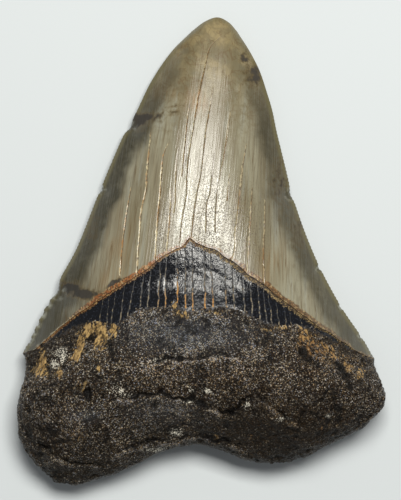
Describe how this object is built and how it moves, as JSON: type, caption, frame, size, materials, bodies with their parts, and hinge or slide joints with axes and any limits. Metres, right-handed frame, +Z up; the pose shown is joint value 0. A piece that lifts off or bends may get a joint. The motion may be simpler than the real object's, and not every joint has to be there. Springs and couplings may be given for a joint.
{
  "type": "fossil shark tooth",
  "caption": "Broad triangular fossil shark tooth with a serrated enamel crown, a dark chevron band and a two-lobed stone-like root, lying flat.",
  "frame": {"origin": "on the surface that the tooth lies on, under the middle of its outline", "axes": "+Z up, out of the convex lingual face; +Y along the tooth from the root to the tip; +X to the right when the tip points away"},
  "size_m": [0.0976, 0.1244, 0.0252],
  "materials": {
    "fossil": "mineralised tooth: glossy grey-tan enamel crown, black satin band, dark grainy root"
  },
  "bodies": {
    "root": {"tooth": "fossil"}
  },
  "joints": []
}
